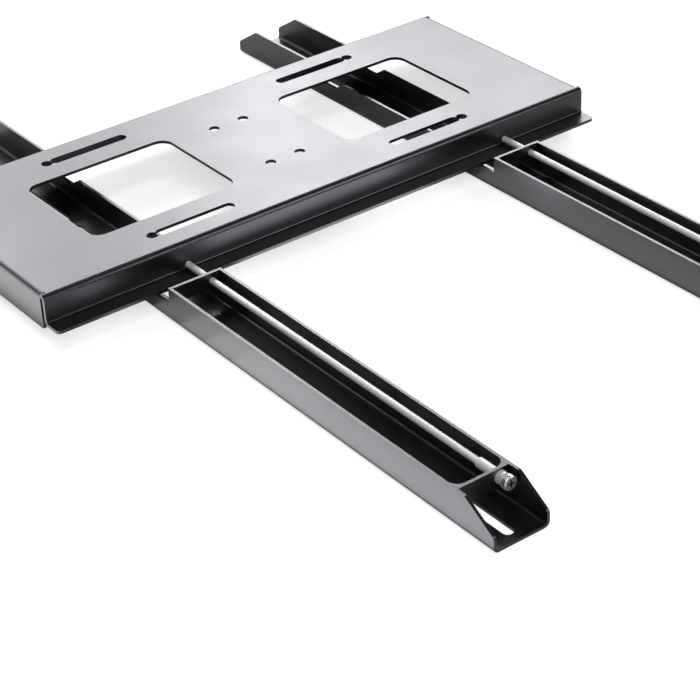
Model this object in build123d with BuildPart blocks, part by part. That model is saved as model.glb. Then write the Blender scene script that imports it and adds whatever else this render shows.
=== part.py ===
from build123d import *
import os

os.makedirs("parts", exist_ok=True)

# Frame
# Millimetres. X runs along the wall plate, Y runs up the arms as the mount hangs,
# Z points from the screen to the wall. The mount lies on its arms, so their webs
# are on Z = 0 and the face that goes against the wall is on top.

# Wall plate: one folded sheet, a hat section with an end flange at each end
PLATE_LENGTH = 500.0
PLATE_HEIGHT = 200.0
PLATE_SHEET = 2.5
PLATE_BEND = 1.5
WALL_DEPTH = 38.9
LIP_REACH = 15.0
LIP_CORNER = 3.5
PLATE_CENTRE_Y = 133.0

# End flanges that stop the arms from sliding off the plate
FLANGE_DROP = 28.9
FLANGE_SETBACK = 6.5
FLANGE_INSET = 0.4
FLANGE_CORNER = 1.0
RELIEF_WIDTH = 1.6

# Windows and wall fixing holes of the plate
WINDOW_LENGTH = 126.6
WINDOW_HEIGHT = 102.0
WINDOW_CORNER = 10.5
WINDOW_CENTRE_X = 115.6
KEYHOLE_DIAMETER = 9.0
KEYHOLE_X = 144.8
SLOT_WIDTH = 9.2
SLOT_INNER_END_X = 73.2
SLOT_NECK_PITCH = 8.2
SLOT_ROW_Y = 75.5
ROUND_HOLE_DIAMETER = 8.5
ROUND_HOLE_X = 13.7
ROUND_HOLE_Y = 38.6

# Arms: two equal folded channels, open towards the wall
ARM_X = {"left": -146.0, "right": 153.5}
ARM_LENGTH = 700.0
ARM_WIDTH = 44.5
ARM_WALL = 27.9
ARM_SHEET = 2.2
ARM_BEND = 2.0
END_CHAMFER_LENGTH = 26.5
END_CHAMFER_HEIGHT = 11.5
END_CORNER = 4.0
MID_WALL = 22.0
NOTCH_HEIGHT = 15.0
RAMP_START = 25.0
RAMP_LENGTH = 11.0

# Hook that hangs on the upper lip of the plate
HOOK_OVERLAP = 12.0
HOOK_CORNER = 2.5
HOOK_CLEARANCE = 0.3
LIP_GAP = 0.1

# Slots in the arm's web for the screen's bolts
WEB_SLOT_WIDTH = 7.8
WEB_SLOT_OFFSET = -2.55
WEB_SLOT_MARGIN = 6.5
WEB_SLOT_BRIDGE = 10.0
WEB_SLOT_COUNT = 8

# Lock screw, its guide plate and its nut bracket
SCREW_SIDE_DISTANCE = 9.0
SCREW_HEIGHT = 21.5
ROD_DIAMETER = 5.0
ROD_TIP_GAP = 0.3
ROD_TIP_CHAMFER = 1.0
GUIDE_SHEET = 2.4
GUIDE_LIP_GAP = 15.5
GUIDE_HOLE_CLEARANCE = 0.3
BRACKET_SHEET = 2.4
BRACKET_CORNER = 8.0
BRACKET_FRONT = 35.4
BRACKET_BOTTOM = 13.5
INSERT_BARREL_DIAMETER = 7.25
INSERT_BARREL_LENGTH = 17.5
INSERT_FLANGE_DIAMETER = 9.4
INSERT_FLANGE = 1.0
INSERT_SEAT_CLEARANCE = 0.05
THREAD_CLEARANCE = 0.05
COLLAR_DIAMETER = 9.0
COLLAR_LENGTH = 2.8
COLLAR_BORE_CLEARANCE = 0.1
COLLAR_GAP = 0.2
SCREW_NECK = 2.7
HEAD_DIAMETER = 10.8
HEAD_LENGTH = 3.4
HEAD_ROUND = 1.2
RECESS_SPAN = 5.6
RECESS_WIDTH = 1.3
RECESS_DEPTH = 1.7

# Places that several pieces share
LIP_UNDERSIDE = NOTCH_HEIGHT + LIP_GAP
LIP_TOP = LIP_UNDERSIDE + PLATE_SHEET
SCREW_OFFSET = ARM_WIDTH / 2 - SCREW_SIDE_DISTANCE
LOWER_WALL_Y = PLATE_CENTRE_Y - PLATE_HEIGHT / 2
UPPER_WALL_Y = PLATE_CENTRE_Y + PLATE_HEIGHT / 2
LOWER_LIP_Y = LOWER_WALL_Y - LIP_REACH
UPPER_LIP_Y = UPPER_WALL_Y + LIP_REACH
ARM_LOWER_END_Y = -ARM_LENGTH / 2
ARM_UPPER_END_Y = ARM_LENGTH / 2
GUIDE_BACK_Y = LOWER_LIP_Y - GUIDE_LIP_GAP
GUIDE_FRONT_Y = GUIDE_BACK_Y - GUIDE_SHEET
BRACKET_FRONT_Y = ARM_LOWER_END_Y + BRACKET_FRONT
BRACKET_BACK_Y = BRACKET_FRONT_Y + BRACKET_SHEET
ROD_TIP_Y = LOWER_WALL_Y - ROD_TIP_GAP
INSERT_FLANGE_Y = BRACKET_FRONT_Y - INSERT_FLANGE
COLLAR_BACK_Y = INSERT_FLANGE_Y - COLLAR_GAP
COLLAR_FRONT_Y = COLLAR_BACK_Y - COLLAR_LENGTH
HEAD_BACK_Y = COLLAR_FRONT_Y - SCREW_NECK
HEAD_FRONT_Y = HEAD_BACK_Y - HEAD_LENGTH


def across_plane(x, y=0.0):
    """Plane that cuts across the arms, with X to the right and Z up."""
    return Plane(origin=(x, y, 0), x_dir=(1, 0, 0), z_dir=(0, -1, 0))


def side_plane(x, y=0.0):
    """Plane along the arms, with Y to the right and Z up."""
    return Plane(origin=(x, y, 0), x_dir=(0, 1, 0), z_dir=(1, 0, 0))


def screw_plane(side, y):
    """Plane square to the lock screw, centred on its axis, facing down the arm."""
    return Plane(
        origin=(ARM_X[side] + SCREW_OFFSET, y, SCREW_HEIGHT),
        x_dir=(1, 0, 0),
        z_dir=(0, -1, 0),
    )


# Wall plate
def make_wall_plate():
    """Fold the hat section and its end flanges, then punch windows and holes."""
    top_mid = WALL_DEPTH - PLATE_SHEET / 2
    lip_mid = LIP_UNDERSIDE + PLATE_SHEET / 2
    wall_mid = PLATE_HEIGHT / 2 - PLATE_SHEET / 2
    lip_edge = PLATE_HEIGHT / 2 + LIP_REACH
    bend_mid = PLATE_BEND + PLATE_SHEET / 2
    bend_outer = PLATE_BEND + PLATE_SHEET
    flange_half = PLATE_HEIGHT / 2 - FLANGE_SETBACK
    plate_end = PLATE_LENGTH / 2
    flange_face = plate_end - FLANGE_INSET
    with BuildPart() as wall_plate:
        # Hat section, swept along the plate
        with BuildSketch(side_plane(0, PLATE_CENTRE_Y)):
            with BuildLine():
                FilletPolyline(
                    (-lip_edge, lip_mid),
                    (-wall_mid, lip_mid),
                    (-wall_mid, top_mid),
                    (wall_mid, top_mid),
                    (wall_mid, lip_mid),
                    (lip_edge, lip_mid),
                    radius=bend_mid,
                )
            trace(line_width=PLATE_SHEET)
        extrude(amount=plate_end, both=True)
        # Rounded corners of the two lips
        upright_edges = wall_plate.edges().filter_by(Axis.Z).group_by(Axis.Y)
        fillet(upright_edges[0] + upright_edges[-1], radius=LIP_CORNER)
        # Room for the end bends, with a relief slot at each side of them
        with BuildSketch(Plane.XY.offset(WALL_DEPTH)):
            with Locations((0, PLATE_CENTRE_Y)):
                with GridLocations(PLATE_LENGTH, 0, 2, 1):
                    Rectangle(2 * (bend_outer + FLANGE_INSET), 2 * (flange_half + RELIEF_WIDTH))
        extrude(amount=-bend_outer, mode=Mode.SUBTRACT)
        # End flanges
        with BuildSketch(across_plane(0, PLATE_CENTRE_Y)):
            with BuildLine():
                FilletPolyline(
                    (flange_face - bend_outer - PLATE_SHEET, top_mid),
                    (flange_face - PLATE_SHEET / 2, top_mid),
                    (flange_face - PLATE_SHEET / 2, WALL_DEPTH - FLANGE_DROP),
                    radius=bend_mid,
                )
            trace(line_width=PLATE_SHEET)
            mirror(about=Plane.YZ)
        extrude(amount=flange_half, both=True)
        flange_corners = wall_plate.edges().filter_by(Axis.X).group_by(Axis.Z)[0]
        fillet(flange_corners, radius=FLANGE_CORNER)
        # Windows, fixing slots with their round end hole, and round holes
        with BuildSketch(Plane.XY.offset(WALL_DEPTH)):
            with Locations((0, PLATE_CENTRE_Y)):
                with GridLocations(2 * WINDOW_CENTRE_X, 0, 2, 1):
                    RectangleRounded(WINDOW_LENGTH, WINDOW_HEIGHT, WINDOW_CORNER)
                with GridLocations(2 * ROUND_HOLE_X, 2 * ROUND_HOLE_Y, 2, 2):
                    Circle(ROUND_HOLE_DIAMETER / 2)
                with GridLocations(2 * KEYHOLE_X, 2 * SLOT_ROW_Y, 2, 2):
                    Circle(KEYHOLE_DIAMETER / 2)
                slot_outer = KEYHOLE_X - SLOT_NECK_PITCH + SLOT_WIDTH / 2
                slot_centre = (slot_outer + SLOT_INNER_END_X) / 2
                with GridLocations(2 * slot_centre, 2 * SLOT_ROW_Y, 2, 2):
                    SlotOverall(slot_outer - SLOT_INNER_END_X, SLOT_WIDTH)
        extrude(amount=-PLATE_SHEET, mode=Mode.SUBTRACT)
    wall_plate.part.label = "wall_plate"
    return wall_plate


# Arms
def arm_outline():
    """Corner points and corner radii of the arm's side walls, seen from the side."""
    hook_root = UPPER_LIP_Y + HOOK_CLEARANCE
    hook_tip = UPPER_LIP_Y - HOOK_OVERLAP
    hook_underside = LIP_TOP + HOOK_CLEARANCE
    lower_ramp = LOWER_WALL_Y + RAMP_START
    upper_ramp = UPPER_WALL_Y - RAMP_START
    outline = (
        ((ARM_LOWER_END_Y, 0), 0),
        ((ARM_UPPER_END_Y, 0), 0),
        ((ARM_UPPER_END_Y, END_CHAMFER_HEIGHT), END_CORNER),
        ((ARM_UPPER_END_Y - END_CHAMFER_LENGTH, ARM_WALL), END_CORNER),
        ((hook_tip, ARM_WALL), HOOK_CORNER),
        ((hook_tip, hook_underside), HOOK_CORNER),
        ((hook_root, hook_underside), 0),
        ((hook_root, NOTCH_HEIGHT), 0),
        ((upper_ramp, NOTCH_HEIGHT), 0),
        ((upper_ramp - RAMP_LENGTH, MID_WALL), 0),
        ((lower_ramp + RAMP_LENGTH, MID_WALL), 0),
        ((lower_ramp, NOTCH_HEIGHT), 0),
        ((GUIDE_FRONT_Y, NOTCH_HEIGHT), 0),
        ((GUIDE_FRONT_Y, ARM_WALL), 0),
        ((ARM_LOWER_END_Y + END_CHAMFER_LENGTH, ARM_WALL), END_CORNER),
        ((ARM_LOWER_END_Y, END_CHAMFER_HEIGHT), END_CORNER),
    )
    points = [corner[0] for corner in outline]
    radii = [corner[1] for corner in outline]
    return points, radii


def make_arm(side):
    """Fold one channel, trim its side walls to their outline and slot its web."""
    points, radii = arm_outline()
    wall_mid = ARM_WIDTH / 2 - ARM_SHEET / 2
    web_mid = ARM_SHEET / 2
    slot_space = ARM_LENGTH - 2 * WEB_SLOT_MARGIN + WEB_SLOT_BRIDGE
    slot_pitch = slot_space / WEB_SLOT_COUNT
    slot_length = slot_pitch - WEB_SLOT_BRIDGE
    with BuildPart() as arm:
        # Channel section, run along the arm
        with BuildSketch(across_plane(ARM_X[side])):
            with BuildLine():
                FilletPolyline(
                    (-wall_mid, ARM_WALL),
                    (-wall_mid, web_mid),
                    (wall_mid, web_mid),
                    (wall_mid, ARM_WALL),
                    radius=ARM_BEND + ARM_SHEET / 2,
                )
            trace(line_width=ARM_SHEET)
        extrude(amount=ARM_LENGTH / 2, both=True)
        # Side walls cut to their outline, with the hook and the notch for the plate
        with BuildSketch(side_plane(ARM_X[side])):
            with BuildLine():
                FilletPolyline(*points, radius=radii, close=True)
            make_face()
        extrude(amount=ARM_WIDTH, both=True, mode=Mode.INTERSECT)
        # Slots in the web
        with BuildSketch(Plane.XY):
            with Locations((ARM_X[side] + WEB_SLOT_OFFSET, 0)):
                with GridLocations(0, slot_pitch, 1, WEB_SLOT_COUNT):
                    SlotOverall(slot_length, WEB_SLOT_WIDTH, rotation=90)
        extrude(amount=ARM_SHEET, mode=Mode.SUBTRACT)
    arm.part.label = "arm_" + side
    return arm


# Guide plate
def make_guide_plate(side):
    """Flat plate welded across the arm in front of the lower lip; it guides the rod."""
    hole = ROD_DIAMETER / 2 + GUIDE_HOLE_CLEARANCE
    centre_height = (ARM_WALL + NOTCH_HEIGHT) / 2
    with BuildPart() as guide:
        with BuildSketch(across_plane(ARM_X[side], GUIDE_BACK_Y)):
            with Locations((0, centre_height)):
                Rectangle(ARM_WIDTH, ARM_WALL - NOTCH_HEIGHT)
            with Locations((SCREW_OFFSET, SCREW_HEIGHT)):
                Circle(hole, mode=Mode.SUBTRACT)
        extrude(amount=GUIDE_SHEET)
    guide.part.label = "guide_plate_" + side
    return guide


# Nut bracket
def make_nut_bracket(side):
    """Cross plate welded between the arm's walls; it holds the threaded insert."""
    inner_half = ARM_WIDTH / 2 - ARM_SHEET
    corner_end = BRACKET_BACK_Y + BRACKET_CORNER
    corner_side = inner_half - BRACKET_CORNER
    with BuildPart() as bracket:
        # Plate in plan, with a hollow corner towards each wall on its upper side
        with BuildSketch(Plane(origin=(ARM_X[side], 0, BRACKET_BOTTOM))):
            with BuildLine():
                Polyline((0, BRACKET_FRONT_Y), (inner_half, BRACKET_FRONT_Y), (inner_half, corner_end))
                RadiusArc((inner_half, corner_end), (corner_side, BRACKET_BACK_Y), BRACKET_CORNER)
                Line((corner_side, BRACKET_BACK_Y), (0, BRACKET_BACK_Y))
                mirror(about=Plane.YZ)
            make_face()
        extrude(amount=ARM_WALL - BRACKET_BOTTOM)
        # Seat of the threaded insert; its hole also clips the corner beside it
        with BuildSketch(screw_plane(side, corner_end)):
            Circle(INSERT_BARREL_DIAMETER / 2 + INSERT_SEAT_CLEARANCE)
        extrude(amount=BRACKET_CORNER + BRACKET_SHEET, mode=Mode.SUBTRACT)
    bracket.part.label = "nut_bracket_" + side
    return bracket


# Threaded insert
def make_threaded_insert(side):
    """Barrel nut pressed through the bracket, with its flange on the lower face."""
    with BuildPart() as insert:
        with BuildSketch(screw_plane(side, BRACKET_BACK_Y + INSERT_BARREL_LENGTH)):
            Circle(INSERT_BARREL_DIAMETER / 2)
        extrude(amount=INSERT_BARREL_LENGTH + BRACKET_SHEET)
        with BuildSketch(screw_plane(side, BRACKET_FRONT_Y)):
            Circle(INSERT_FLANGE_DIAMETER / 2)
        extrude(amount=INSERT_FLANGE)
        with BuildSketch(screw_plane(side, BRACKET_BACK_Y + INSERT_BARREL_LENGTH)):
            Circle(ROD_DIAMETER / 2 + THREAD_CLEARANCE)
        extrude(amount=ARM_LENGTH, mode=Mode.SUBTRACT)
    insert.part.label = "threaded_insert_" + side
    return insert


# Collar
def make_screw_collar(side):
    """Loose collar under the screw's head; it travels with the screw."""
    with BuildPart() as collar:
        with BuildSketch(screw_plane(side, COLLAR_BACK_Y)):
            Circle(COLLAR_DIAMETER / 2)
            Circle(ROD_DIAMETER / 2 + COLLAR_BORE_CLEARANCE, mode=Mode.SUBTRACT)
        extrude(amount=COLLAR_LENGTH)
    collar.part.label = "screw_collar_" + side
    return collar


# Lock screw
def make_lock_screw(side):
    """Long rod screw: bevelled tip over the plate's lip, pan head with cross recess."""
    with BuildPart() as screw:
        with BuildSketch(screw_plane(side, ROD_TIP_Y)):
            Circle(ROD_DIAMETER / 2)
        extrude(amount=ROD_TIP_Y - HEAD_BACK_Y)
        tip_edge = screw.edges().filter_by(GeomType.CIRCLE).sort_by(Axis.Y)[-1]
        chamfer(tip_edge, length=ROD_TIP_CHAMFER)
        with BuildSketch(screw_plane(side, HEAD_BACK_Y)):
            Circle(HEAD_DIAMETER / 2)
        extrude(amount=HEAD_LENGTH)
        head_edge = screw.edges().filter_by(GeomType.CIRCLE).sort_by(Axis.Y)[0]
        fillet(head_edge, radius=HEAD_ROUND)
        # Cross recess
        with BuildSketch(screw_plane(side, HEAD_FRONT_Y)):
            Rectangle(RECESS_SPAN, RECESS_WIDTH)
            Rectangle(RECESS_WIDTH, RECESS_SPAN)
        extrude(amount=-RECESS_DEPTH, mode=Mode.SUBTRACT)
    screw.part.label = "lock_screw_" + side
    return screw


# Build and write every piece
pieces = [make_wall_plate()]
for side in ARM_X:
    pieces.append(make_arm(side))
    pieces.append(make_guide_plate(side))
    pieces.append(make_nut_bracket(side))
    pieces.append(make_threaded_insert(side))
    pieces.append(make_screw_collar(side))
    pieces.append(make_lock_screw(side))

for piece in pieces:
    export_step(piece.part, "parts/" + piece.part.label + ".step")
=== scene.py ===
"""Wall mount for a flat screen: finishes, weld spots, thread relief, floor, lamps and camera.

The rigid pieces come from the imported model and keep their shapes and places. This file gives
them their powder coat and zinc plating, adds the weld spots and the rolled threads that are too
fine for the solids, and sets up a plain pale studio with the camera of the photograph.
"""

import logging
import math
from collections.abc import Iterable
from dataclasses import dataclass
from enum import Enum

import bmesh
import bpy
from mathutils import Matrix, Vector


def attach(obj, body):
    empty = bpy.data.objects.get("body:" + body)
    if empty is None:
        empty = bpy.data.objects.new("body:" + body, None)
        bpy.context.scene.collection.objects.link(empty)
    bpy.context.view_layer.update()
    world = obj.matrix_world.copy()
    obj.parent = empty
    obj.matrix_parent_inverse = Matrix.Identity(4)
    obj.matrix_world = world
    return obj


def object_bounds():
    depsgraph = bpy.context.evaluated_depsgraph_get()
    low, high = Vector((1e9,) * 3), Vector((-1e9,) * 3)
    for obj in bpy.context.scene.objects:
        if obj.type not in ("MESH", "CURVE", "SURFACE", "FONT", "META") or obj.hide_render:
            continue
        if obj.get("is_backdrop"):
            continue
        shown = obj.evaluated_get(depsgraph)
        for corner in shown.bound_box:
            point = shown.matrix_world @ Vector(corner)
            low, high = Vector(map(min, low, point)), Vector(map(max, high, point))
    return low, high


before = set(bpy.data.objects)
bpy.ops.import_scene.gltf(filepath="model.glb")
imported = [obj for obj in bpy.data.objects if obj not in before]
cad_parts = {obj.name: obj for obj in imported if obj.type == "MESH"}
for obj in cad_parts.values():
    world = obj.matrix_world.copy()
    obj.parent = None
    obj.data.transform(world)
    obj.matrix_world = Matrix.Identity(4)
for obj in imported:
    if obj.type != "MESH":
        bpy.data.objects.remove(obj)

logging.basicConfig(level=logging.INFO, format="%(name)s: %(message)s")
LOG = logging.getLogger("wall_mount")

Tree = bpy.types.NodeTree
Node = bpy.types.Node
Socket = bpy.types.NodeSocket
Pair = tuple[float, float]
Triple = tuple[float, float, float]

MM = 0.001
WHITE = (1.0, 1.0, 1.0, 1.0)
NOISE_LOW = 0.3
NOISE_HIGH = 0.7


class Surface(Enum):
    """The finishes that the mount's pieces wear."""

    PLATE_COAT = "black_powder_coat_plate"
    ARM_COAT = "black_powder_coat_arm"
    ZINC = "zinc_plated_steel"
    COLLAR = "zinc_plated_collar"
    SCREW_LEFT = "zinc_plated_screw_left"
    SCREW_RIGHT = "zinc_plated_screw_right"


# Shader helpers


def new_material(name: str) -> tuple[bpy.types.Material, Node]:
    """Make an empty node material.

    Args:
        name: The material's name.

    Returns:
        The material and its Principled shader node.
    """
    material = bpy.data.materials.new(name)
    material.use_nodes = True
    return material, material.node_tree.nodes["Principled BSDF"]


def add_node(tree: Tree, kind: str, **values: object) -> Node:
    """Add a node and set its properties.

    Args:
        tree: The node tree that gets the node.
        kind: The node's type name.
        **values: Properties of the node.

    Returns:
        The new node.
    """
    node = tree.nodes.new(kind)
    for key, value in values.items():
        setattr(node, key, value)
    return node


def join(tree: Tree, source: Socket, target: Socket) -> None:
    """Link two sockets of one tree."""
    tree.links.new(source, target)


def maths(tree: Tree, operation: str, *values: float | Socket) -> Socket:
    """Add a math node.

    Args:
        tree: The tree that gets the node.
        operation: The math node's operation.
        *values: Its inputs in order, each a number or a socket.

    Returns:
        The result's socket.
    """
    node = add_node(tree, "ShaderNodeMath", operation=operation)
    for place, value in zip(node.inputs, values):
        if isinstance(value, (int, float)):
            place.default_value = value
        else:
            join(tree, value, place)
    return node.outputs["Value"]


def spread(tree: Tree, source: Socket, low: float, high: float) -> Socket:
    """Map a noise value, which mostly lies between NOISE_LOW and NOISE_HIGH, to a range.

    Args:
        tree: The tree that gets the node.
        source: The value to map.
        low: Result at NOISE_LOW and below.
        high: Result at NOISE_HIGH and above.

    Returns:
        The mapped value's socket.
    """
    node = add_node(tree, "ShaderNodeMapRange", clamp=True)
    node.inputs["From Min"].default_value = NOISE_LOW
    node.inputs["From Max"].default_value = NOISE_HIGH
    node.inputs["To Min"].default_value = low
    node.inputs["To Max"].default_value = high
    join(tree, source, node.inputs["Value"])
    return node.outputs["Result"]


def mix_colours(tree: Tree, factor: Socket, first: Triple | Socket, second: Triple) -> Socket:
    """Mix two colours.

    Args:
        tree: The tree that gets the node.
        factor: How much of the second colour there is, 0 to 1.
        first: The first colour, plain or from a socket.
        second: The second colour.

    Returns:
        The mixed colour's socket.
    """
    node = add_node(tree, "ShaderNodeMix", data_type="RGBA")
    join(tree, factor, node.inputs["Factor"])
    if isinstance(first, tuple):
        node.inputs["A"].default_value = (*first, 1.0)
    else:
        join(tree, first, node.inputs["A"])
    node.inputs["B"].default_value = (*second, 1.0)
    return node.outputs["Result"]


def relief(tree: Tree, height: Socket, depth_mm: float) -> Node:
    """Add a bump node.

    Args:
        tree: The tree that gets the node.
        height: The height, 0 to 1.
        depth_mm: How deep a height of 1 is.

    Returns:
        The bump node, whose Normal input is still free.
    """
    bump = add_node(tree, "ShaderNodeBump")
    bump.inputs["Strength"].default_value = 1.0
    bump.inputs["Distance"].default_value = depth_mm * MM
    join(tree, height, bump.inputs["Height"])
    return bump


def new_group(name: str, inputs: dict[str, str], outputs: tuple[str, ...]) -> tuple[Tree, Node, Node, Node]:
    """Make a shader node group with its sockets.

    Args:
        name: The group's name.
        inputs: Socket type, Vector or Float, by input name.
        outputs: Names of the outputs, all of them floats.

    Returns:
        The group, its input node, its output node and a texture coordinate node.
    """
    group = bpy.data.node_groups.new(name, "ShaderNodeTree")
    for label, kind in inputs.items():
        group.interface.new_socket(label, in_out="INPUT", socket_type="NodeSocket" + kind)
    for label in outputs:
        group.interface.new_socket(label, in_out="OUTPUT", socket_type="NodeSocketFloat")
    given = add_node(group, "NodeGroupInput")
    out = add_node(group, "NodeGroupOutput")
    return group, given, out, add_node(group, "ShaderNodeTexCoord")


def grain_group() -> Tree:
    """Make the node group with a fine grain and a broad mottling on object coordinates.

    Returns:
        The node group: inputs Stretch, Fine Scale and Broad Scale; outputs Fine, Broad and Height.
    """
    octaves = {"Fine": 2.0, "Broad": 3.0}
    broad_share = 0.15
    inputs = {"Stretch": "Vector", "Fine Scale": "Float", "Broad Scale": "Float"}
    group, given, out, place = new_group("surface_grain", inputs, ("Fine", "Broad", "Height"))
    mapping = add_node(group, "ShaderNodeMapping")
    join(group, place.outputs["Object"], mapping.inputs["Vector"])
    join(group, given.outputs["Stretch"], mapping.inputs["Scale"])
    values: dict[str, Socket] = {}
    for label, detail in octaves.items():
        noise = add_node(group, "ShaderNodeTexNoise", noise_dimensions="3D")
        noise.inputs["Detail"].default_value = detail
        noise.inputs["Roughness"].default_value = 0.5
        join(group, given.outputs[label + " Scale"], noise.inputs["Scale"])
        join(group, mapping.outputs["Vector"], noise.inputs["Vector"])
        values[label] = noise.outputs["Fac"]
        join(group, values[label], out.inputs[label])
    height = maths(group, "MULTIPLY_ADD", values["Broad"], broad_share, values["Fine"])
    join(group, height, out.inputs["Height"])
    return group


def thread_group() -> Tree:
    """Make the node group of a lock screw, with a rolled thread, head and recess round an axis along Y.

    Returns:
        The node group: inputs Axis X, Axis Z, Start, End, Pitch, Recess and Face in metres, where
        Start and End bound the thread, Recess is the recess's reach from the axis and Face is the
        head's front; outputs Height for the thread, and Head and Recess as masks, the Recess mask marking
        where the cross recess gets its painted shade.
    """
    labels = ("Axis X", "Axis Z", "Start", "End", "Pitch", "Recess", "Face")
    inputs = {label: "Float" for label in labels}
    group, given, out, place = new_group("rolled_thread", inputs, ("Height", "Head", "Recess"))
    parts = add_node(group, "ShaderNodeSeparateXYZ")
    join(group, place.outputs["Object"], parts.inputs["Vector"])
    along = parts.outputs["Y"]
    beside = maths(group, "SUBTRACT", parts.outputs["X"], given.outputs["Axis X"])
    above = maths(group, "SUBTRACT", parts.outputs["Z"], given.outputs["Axis Z"])
    turn = maths(group, "ARCTAN2", above, beside)
    turns = maths(group, "DIVIDE", along, given.outputs["Pitch"])
    phase = maths(group, "MULTIPLY_ADD", turns, math.tau, turn)
    wave = maths(group, "MULTIPLY_ADD", maths(group, "SINE", phase), 0.5, 0.5)
    after = maths(group, "GREATER_THAN", along, given.outputs["Start"])
    before = maths(group, "LESS_THAN", along, given.outputs["End"])
    threaded = maths(group, "MULTIPLY", after, before)
    join(group, maths(group, "MULTIPLY", wave, threaded), out.inputs["Height"])
    join(group, maths(group, "SUBTRACT", 1.0, after), out.inputs["Head"])
    above_squared = maths(group, "MULTIPLY", above, above)
    radius = maths(group, "SQRT", maths(group, "MULTIPLY_ADD", beside, beside, above_squared))
    near = maths(group, "LESS_THAN", radius, given.outputs["Recess"])
    behind_face = maths(group, "GREATER_THAN", along, given.outputs["Face"])
    inside = maths(group, "SUBTRACT", behind_face, after)
    join(group, maths(group, "MULTIPLY", near, inside), out.inputs["Recess"])
    return group


# Finishes


@dataclass(frozen=True)
class PowderCoat:
    """Black satin powder coat: a dark base with a fine orange-peel skin."""

    name: str
    tone: float = 0.002
    tint: Triple = (1.0, 1.0, 1.08)
    darker: float = 0.8
    lighter: float = 1.25
    roughness: float = 0.34
    mottling: float = 0.02
    mottling_scale: float = 22.0
    peel_scale: float = 800.0
    peel_depth_mm: float = 0.085
    ior: float = 1.6
    sheen: Triple = (0.88, 0.89, 1.0)
    coat: float = 0.2
    coat_roughness: float = 0.30

    def shade_of(self, share: float) -> Triple:
        """Work out the base colour at a share of its tone."""
        red, green, blue = (self.tone * part * share for part in self.tint)
        return (red, green, blue)

    def make(self, grain: Tree) -> bpy.types.Material:
        """Build the material.

        Args:
            grain: The grain's node group.

        Returns:
            The powder coat's material.
        """
        material, shader = new_material(self.name)
        tree = material.node_tree
        skin = add_node(tree, "ShaderNodeGroup", node_tree=grain)
        skin.inputs["Stretch"].default_value = (1.0, 1.0, 1.0)
        skin.inputs["Fine Scale"].default_value = self.peel_scale
        skin.inputs["Broad Scale"].default_value = self.mottling_scale
        broad = skin.outputs["Broad"]
        dark = self.shade_of(self.darker)
        light = self.shade_of(self.lighter)
        colour = mix_colours(tree, spread(tree, broad, 0.0, 1.0), dark, light)
        rough = spread(tree, broad, self.roughness - self.mottling, self.roughness + self.mottling)
        skin_relief = relief(tree, skin.outputs["Height"], self.peel_depth_mm)
        join(tree, colour, shader.inputs["Base Color"])
        join(tree, rough, shader.inputs["Roughness"])
        join(tree, skin_relief.outputs["Normal"], shader.inputs["Normal"])
        shader.inputs["IOR"].default_value = self.ior
        shader.inputs["Specular Tint"].default_value = (*self.sheen, 1.0)
        shader.inputs["Coat Weight"].default_value = self.coat
        shader.inputs["Coat Roughness"].default_value = self.coat_roughness
        return material


@dataclass
class ZincNodes:
    """A zinc plating's colour and roughness, and the bump node of its drawing marks."""

    colour: Socket
    roughness: Socket
    marks: Node


@dataclass(frozen=True)
class ZincPlating:
    """Satin zinc plating with drawing marks along the piece."""

    name: str
    tone: float = 0.70
    cool: Triple = (0.94, 0.96, 1.0)
    warm: Triple = (1.0, 0.985, 0.955)
    metallic: float = 0.45
    roughness: float = 0.50
    roughness_spread: float = 0.06
    mark_stretch: Triple = (1.0, 0.05, 1.0)
    mark_scale: float = 1400.0
    blotch_scale: float = 120.0
    mark_depth_mm: float = 0.0015

    def shade_of(self, hue: Triple) -> Triple:
        """Work out the base colour in a hue."""
        red, green, blue = (self.tone * part for part in hue)
        return (red, green, blue)

    def lay(self, tree: Tree, grain: Tree) -> ZincNodes:
        """Add the nodes of the plating's tint, roughness and drawing marks.

        Args:
            tree: The material's node tree.
            grain: The grain's node group.

        Returns:
            The outputs and the marks' bump node.
        """
        marks = add_node(tree, "ShaderNodeGroup", node_tree=grain)
        marks.inputs["Stretch"].default_value = self.mark_stretch
        marks.inputs["Fine Scale"].default_value = self.mark_scale
        marks.inputs["Broad Scale"].default_value = self.blotch_scale
        blotches = spread(tree, marks.outputs["Broad"], 0.0, 1.0)
        low = self.roughness - self.roughness_spread
        high = self.roughness + self.roughness_spread
        return ZincNodes(
            colour=mix_colours(tree, blotches, self.shade_of(self.cool), self.shade_of(self.warm)),
            roughness=spread(tree, marks.outputs["Fine"], low, high),
            marks=relief(tree, marks.outputs["Height"], self.mark_depth_mm),
        )

    def make(self, grain: Tree) -> bpy.types.Material:
        """Build the material.

        Args:
            grain: The grain's node group.

        Returns:
            The zinc plating's material.
        """
        material, shader = new_material(self.name)
        tree = material.node_tree
        nodes = self.lay(tree, grain)
        join(tree, nodes.colour, shader.inputs["Base Color"])
        join(tree, nodes.roughness, shader.inputs["Roughness"])
        join(tree, nodes.marks.outputs["Normal"], shader.inputs["Normal"])
        shader.inputs["Metallic"].default_value = self.metallic
        return material


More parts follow.
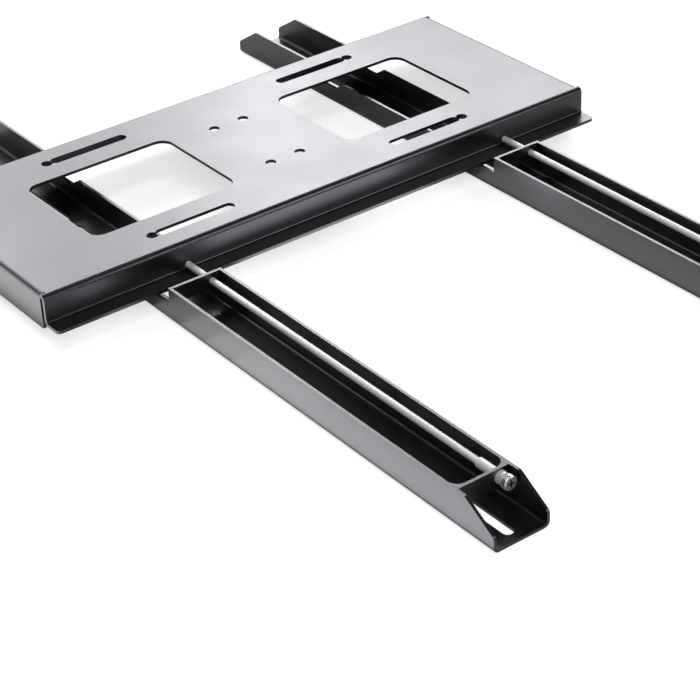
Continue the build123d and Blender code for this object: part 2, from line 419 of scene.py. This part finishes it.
@dataclass(frozen=True)
class ScrewZinc(ZincPlating):
    """Zinc plating of a lock screw: a satin rod with its thread, a brighter head and a recess painted dark
    as shade.
    """

    axis_mm: Pair = (0.0, 0.0)
    thread_start_mm: float = -321.0
    thread_end_mm: float = -276.0
    pitch_mm: float = 0.8
    thread_depth_mm: float = 0.12
    recess_reach_mm: float = 2.9
    head_face_mm: float = -324.55
    head_roughness: float = 0.26
    head_metallic: float = 0.86
    # Painted shade: the near-black colour laid in the head's cross recess
    painted_recess_shade: Triple = (0.05, 0.05, 0.04)

    def place_thread(self, tree: Tree, rolled: Tree) -> Node:
        """Add the thread's group with this screw's sizes.

        Args:
            tree: The material's node tree.
            rolled: The thread's node group.

        Returns:
            The group's node.
        """
        screw = add_node(tree, "ShaderNodeGroup", node_tree=rolled)
        sizes_mm = {
            "Axis X": self.axis_mm[0],
            "Axis Z": self.axis_mm[1],
            "Start": self.thread_start_mm,
            "End": self.thread_end_mm,
            "Pitch": self.pitch_mm,
            "Recess": self.recess_reach_mm,
            "Face": self.head_face_mm,
        }
        for label, size in sizes_mm.items():
            screw.inputs[label].default_value = size * MM
        return screw

    def make_screw(self, grain: Tree, rolled: Tree) -> bpy.types.Material:
        """Build the material.

        Args:
            grain: The grain's node group.
            rolled: The thread's node group.

        Returns:
            The screw's material.
        """
        material, shader = new_material(self.name)
        tree = material.node_tree
        nodes = self.lay(tree, grain)
        screw = self.place_thread(tree, rolled)
        thread = relief(tree, screw.outputs["Height"], self.thread_depth_mm)
        join(tree, thread.outputs["Normal"], nodes.marks.inputs["Normal"])
        join(tree, nodes.marks.outputs["Normal"], shader.inputs["Normal"])
        head = screw.outputs["Head"]
        smooth = add_node(tree, "ShaderNodeMix", data_type="FLOAT")
        join(tree, head, smooth.inputs["Factor"])
        join(tree, nodes.roughness, smooth.inputs["A"])
        smooth.inputs["B"].default_value = self.head_roughness
        join(tree, smooth.outputs["Result"], shader.inputs["Roughness"])
        gain = self.head_metallic - self.metallic
        join(tree, maths(tree, "MULTIPLY_ADD", head, gain, self.metallic), shader.inputs["Metallic"])
        # Painted shade: the cross recess gets a near-black colour through its mask
        colour = mix_colours(tree, screw.outputs["Recess"], nodes.colour, self.painted_recess_shade)
        join(tree, colour, shader.inputs["Base Color"])
        return material


# Pieces


@dataclass(frozen=True)
class ArmPlace:
    """Where one arm and its lock screw lie, in millimetres, and the screw's finish."""

    side: str
    axis_x: float
    screw: Surface
    screw_offset: float = 13.25
    screw_height: float = 21.5

    def screw_axis(self) -> Pair:
        """Give the screw's axis as X and Z."""
        return (self.axis_x + self.screw_offset, self.screw_height)


ARM_PLACES = (
    ArmPlace("left", -146.0, Surface.SCREW_LEFT),
    ArmPlace("right", 153.5, Surface.SCREW_RIGHT),
)


class Finishes:
    """Every finish of the mount, made once."""

    def __init__(self) -> None:
        """Make the materials."""
        grain = grain_group()
        rolled = thread_group()
        collar = ZincPlating("zinc_collar", tone=0.8, metallic=0.55, roughness=0.42)
        self.by_surface = {
            Surface.PLATE_COAT: PowderCoat("plate_powder_coat").make(grain),
            Surface.ARM_COAT: PowderCoat("arm_powder_coat").make(grain),
            Surface.ZINC: ZincPlating("zinc_plating").make(grain),
            Surface.COLLAR: collar.make(grain),
        }
        for place in ARM_PLACES:
            zinc = ScrewZinc("zinc_screw_" + place.side, axis_mm=place.screw_axis())
            self.by_surface[place.screw] = zinc.make_screw(grain, rolled)

    def dress(self, piece: bpy.types.Object, surface: Surface) -> None:
        """Give a piece one finish.

        Args:
            piece: The mesh object to dress.
            surface: The finish that it gets.
        """
        material = self.by_surface[surface]
        if not piece.material_slots:
            piece.data.materials.append(material)
        for holder in piece.material_slots:
            holder.material = material


@dataclass
class WallPlate:
    """The folded wall plate."""

    node: str = "wall_plate"

    def dress(self, finishes: Finishes) -> None:
        """Give the plate its powder coat."""
        finishes.dress(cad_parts[self.node], Surface.PLATE_COAT)
        LOG.info("%s has its powder coat", self.node)


@dataclass
class ArmSet:
    """One channel arm with its guide plate, nut bracket, insert, collar and lock screw."""

    place: ArmPlace
    weld_offset_mm: float = 18.1
    weld_height_mm: float = 24.8
    weld_face_mm: float = 0.1
    weld_radius_mm: float = 1.9
    weld_top_share: float = 0.72
    weld_rise_mm: float = 0.6
    weld_round_mm: float = 0.21
    weld_segments: int = 48
    round_segments: int = 4

    def dress(self, finishes: Finishes) -> None:
        """Give each piece of the arm its finish.

        Args:
            finishes: The mount's finishes.
        """
        side = self.place.side
        wears = {
            "arm_": Surface.ARM_COAT,
            "guide_plate_": Surface.ARM_COAT,
            "nut_bracket_": Surface.ARM_COAT,
            "threaded_insert_": Surface.ZINC,
            "screw_collar_": Surface.COLLAR,
            "lock_screw_": self.place.screw,
        }
        for stem, surface in wears.items():
            finishes.dress(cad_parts[stem + side], surface)
        LOG.info("arm_%s and its lock screw have their finishes", side)

    def weld_mesh(self, name: str) -> bpy.types.Mesh:
        """Shape the weld spot, a cone with a rounded rim whose middle lies in the guide plate's face.

        Args:
            name: The mesh's name.

        Returns:
            The new mesh, in the mount's own place.
        """
        spot = bmesh.new()
        bmesh.ops.create_cone(
            spot, cap_ends=True, segments=self.weld_segments, radius1=self.weld_radius_mm * MM,
            radius2=self.weld_top_share * self.weld_radius_mm * MM, depth=2.0 * self.weld_rise_mm * MM,
        )
        rim = [edge for edge in spot.edges if all(vert.co.z > 0.0 for vert in edge.verts)]
        bmesh.ops.bevel(
            spot, geom=rim, offset=self.weld_round_mm * MM, offset_type="OFFSET", affect="EDGES",
            segments=self.round_segments, profile=0.5, material=-1,
        )
        towards_head = Matrix.Rotation(math.pi / 2, 3, "X")
        bmesh.ops.rotate(spot, verts=spot.verts, cent=(0, 0, 0), matrix=towards_head)
        beside = self.place.axis_x + self.weld_offset_mm
        centre = Vector((beside, self.weld_face_mm, self.weld_height_mm)) * MM
        bmesh.ops.translate(spot, verts=spot.verts, vec=centre)
        mesh = bpy.data.meshes.new(name)
        spot.to_mesh(mesh)
        spot.free()
        mesh.shade_smooth()
        return mesh

    def weld_spot(self, finishes: Finishes) -> None:
        """Add the coated weld spot on the guide plate's face towards the screw's head.

        Args:
            finishes: The mount's finishes.
        """
        name = "weld_spot_" + self.place.side
        piece = bpy.data.objects.new(name, self.weld_mesh(name))
        bpy.context.collection.objects.link(piece)
        finishes.dress(piece, Surface.ARM_COAT)
        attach(piece, "arm_" + self.place.side)
        LOG.info("%s sits on its guide plate", name)


# Studio


@dataclass(frozen=True)
class Lamp:
    """One soft rectangular lamp that the camera doesn't see, in metres."""

    name: str
    place: Triple
    aim: Triple
    size: Pair
    radiance: float

    def hang(self) -> None:
        """Add the lamp, facing its aim, with a face as bright as its radiance, where 1 is white."""
        light = bpy.data.lights.new(self.name, "AREA")
        light.shape = "RECTANGLE"
        light.size, light.size_y = self.size
        light.energy = self.radiance * math.pi * self.size[0] * self.size[1]
        piece = bpy.data.objects.new(self.name, light)
        piece.visible_camera = False
        bpy.context.collection.objects.link(piece)
        look = (Vector(self.aim) - Vector(self.place)).to_track_quat("-Z", "Y")
        piece.matrix_world = Matrix.Translation(self.place) @ look.to_matrix().to_4x4()


def floor_lamp(name: str, middle: Pair, size: Pair, radiance: float) -> Lamp:
    """Describe a lamp that lies on the floor and faces up, for the mount's walls to mirror.

    Args:
        name: The lamp's name, after lamp_floor_.
        middle: Its middle, in metres.
        size: Its width and length, in metres.
        radiance: How bright it is, where 1 is white.

    Returns:
        The lamp.
    """
    height = 0.0005
    above = 1.0
    return Lamp("lamp_floor_" + name, (*middle, height), (*middle, above), size, radiance)


def floor_strip(name: str, beside: float, reach: Pair, radiance: float) -> Lamp:
    """Describe a narrow floor lamp beside an arm.

    Args:
        name: The strip's name, after lamp_floor_.
        beside: Its middle across the arm, in metres.
        reach: Where it starts and ends along the arm, in metres.
        radiance: How bright it is, where 1 is white.

    Returns:
        The lamp.
    """
    width = 0.030
    start, end = reach
    return floor_lamp(name, (beside, (start + end) / 2), (width, end - start), radiance)


MOUNT_AIM = (0.0, 0.0, 0.02)
PLATE_AIM = (0.05, 0.1, 0.03)
BESIDE_LEFT_ARM = -0.186
BESIDE_RIGHT_ARM = 0.1125

# Behind the mount for its upward faces, low at the left, in front for its walls, and above
SOFT_LAMPS = (
    Lamp("lamp_behind", (1.383, 1.506, 1.161), PLATE_AIM, (1.0, 0.7), 9.3),
    Lamp("lamp_behind_right", (1.967, 0.753, 1.161), PLATE_AIM, (0.5, 0.7), 10.5),
    Lamp("lamp_behind_left", (0.62, 2.0, 0.98), (0.0, 0.1, 0.03), (1.3, 1.1), 3.9),
    Lamp("lamp_back_high", (-0.2, 1.35, 1.3), MOUNT_AIM, (1.7, 0.6), 1.6),
    Lamp("lamp_over_flange", (-0.25, 0.40, 0.30), (-0.25, 0.16, 0.04), (0.34, 0.28), 2.0),
    Lamp("lamp_left", (-1.35, 1.55, 0.27), (-0.1, 0.0, 0.02), (1.5, 0.5), 2.0),
    Lamp("lamp_front_right", (0.85, -1.32, 0.68), MOUNT_AIM, (0.55, 0.45), 9.5),
    Lamp("lamp_fill", (-0.9, -1.2, 1.1), MOUNT_AIM, (1.0, 1.0), 5.0),
    Lamp("lamp_above", (-0.3, -0.5, 2.2), (0.0, 0.0, 0.0), (1.0, 1.0), 3.0),
)

# Brighter patches of floor for the plate's and the arms' walls to mirror
FLOOR_LAMPS = (
    floor_lamp("left", (-0.762, 0.35), (1.0, 0.9), 2.0),
    floor_lamp("plate", (0.005, -0.012), (0.18, 0.05), 3.0),
    floor_strip("arm_left_1", BESIDE_LEFT_ARM, (-0.36, -0.07), 2.6),
    floor_strip("arm_left_2", BESIDE_LEFT_ARM, (-0.07, -0.035), 2.1),
    floor_strip("arm_left_3", BESIDE_LEFT_ARM, (-0.035, -0.005), 1.4),
    floor_strip("arm_left_4", BESIDE_LEFT_ARM, (-0.005, 0.03), 0.7),
    floor_strip("arm_right_1", BESIDE_RIGHT_ARM, (-0.36, -0.03), 0.9),
    floor_strip("arm_right_2", BESIDE_RIGHT_ARM, (-0.03, 0.03), 0.75),
)


@dataclass
class Studio:
    """Pale floor, plain surround, soft lamps and the photograph's camera."""

    floor_half: float = 6.0
    floor_gap: float = 0.0002
    floor_tone: float = 0.62
    floor_roughness: float = 0.9
    floor_glow: float = 0.63
    floor_shine: float = 0.06
    world_strength: float = 0.015
    camera_place: Triple = (-0.824505, -1.131788, 0.787402)
    camera_right: Triple = (0.7968569, -0.6026256, -0.0431453)
    camera_up: Triple = (0.3499680, 0.4021939, 0.8460275)
    camera_back: Triple = (-0.4924851, -0.6892623, 0.5313906)
    lens_mm: float = 110.474
    sensor_mm: float = 36.0
    clip_start: float = 0.02
    lamps: tuple[Lamp, ...] = SOFT_LAMPS + FLOOR_LAMPS

    def camera(self) -> None:
        """Place the camera as the photograph was taken."""
        data = bpy.data.cameras.new("photo_camera")
        data.lens = self.lens_mm
        data.sensor_width = self.sensor_mm
        data.clip_start = self.clip_start
        piece = bpy.data.objects.new("photo_camera", data)
        bpy.context.collection.objects.link(piece)
        turn = Matrix((self.camera_right, self.camera_up, self.camera_back)).transposed()
        piece.matrix_world = Matrix.Translation(self.camera_place) @ turn.to_4x4()
        bpy.context.scene.camera = piece

    def floor_material(self) -> bpy.types.Material:
        """Make the pale floor's material, with a glow for the camera and a weaker one for reflections.

        Returns:
            The floor's material.
        """
        material, shader = new_material("pale_floor")
        tone = self.floor_tone
        shader.inputs["Base Color"].default_value = (tone, tone, tone, 1.0)
        shader.inputs["Roughness"].default_value = self.floor_roughness
        shader.inputs["Emission Color"].default_value = WHITE
        tree = material.node_tree
        path = add_node(tree, "ShaderNodeLightPath")
        mirrored = maths(tree, "MULTIPLY", path.outputs["Is Glossy Ray"], self.floor_shine)
        seen = path.outputs["Is Camera Ray"]
        glow = maths(tree, "MULTIPLY_ADD", seen, self.floor_glow, mirrored)
        join(tree, glow, shader.inputs["Emission Strength"])
        return material

    def floor(self) -> None:
        """Lay a large pale floor just below the mount's lowest point."""
        mesh = bpy.data.meshes.new("studio_floor")
        sheet = bmesh.new()
        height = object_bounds()[0][2] - self.floor_gap
        bmesh.ops.create_grid(sheet, x_segments=1, y_segments=1, size=self.floor_half)
        bmesh.ops.translate(sheet, verts=sheet.verts, vec=(0.0, 0.0, height))
        sheet.to_mesh(mesh)
        sheet.free()
        piece = bpy.data.objects.new("studio_floor", mesh)
        bpy.context.collection.objects.link(piece)
        mesh.materials.append(self.floor_material())
        piece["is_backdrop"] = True

    def world(self) -> None:
        """Set a plain white surround that only the camera sees at full strength."""
        world = bpy.data.worlds.new("studio_surround")
        bpy.context.scene.world = world
        world.use_nodes = True
        tree = world.node_tree
        back = tree.nodes["Background"]
        back.inputs["Color"].default_value = WHITE
        path = add_node(tree, "ShaderNodeLightPath")
        mix = add_node(tree, "ShaderNodeMix", data_type="FLOAT")
        mix.inputs["A"].default_value = self.world_strength
        mix.inputs["B"].default_value = 1.0
        join(tree, path.outputs["Is Camera Ray"], mix.inputs["Factor"])
        join(tree, mix.outputs["Result"], back.inputs["Strength"])

    def build(self) -> None:
        """Set up the whole studio."""
        self.camera()
        self.floor()
        self.world()
        for lamp in self.lamps:
            lamp.hang()
        bpy.context.scene.view_settings.view_transform = "Standard"
        LOG.info("studio is set up")


def main() -> None:
    """Dress the mount, add its weld spots and set up the studio."""
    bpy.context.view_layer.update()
    finishes = Finishes()
    WallPlate().dress(finishes)
    for place in ARM_PLACES:
        arm = ArmSet(place)
        arm.dress(finishes)
        arm.weld_spot(finishes)
    Studio().build()


if __name__ == "__main__":
    main()
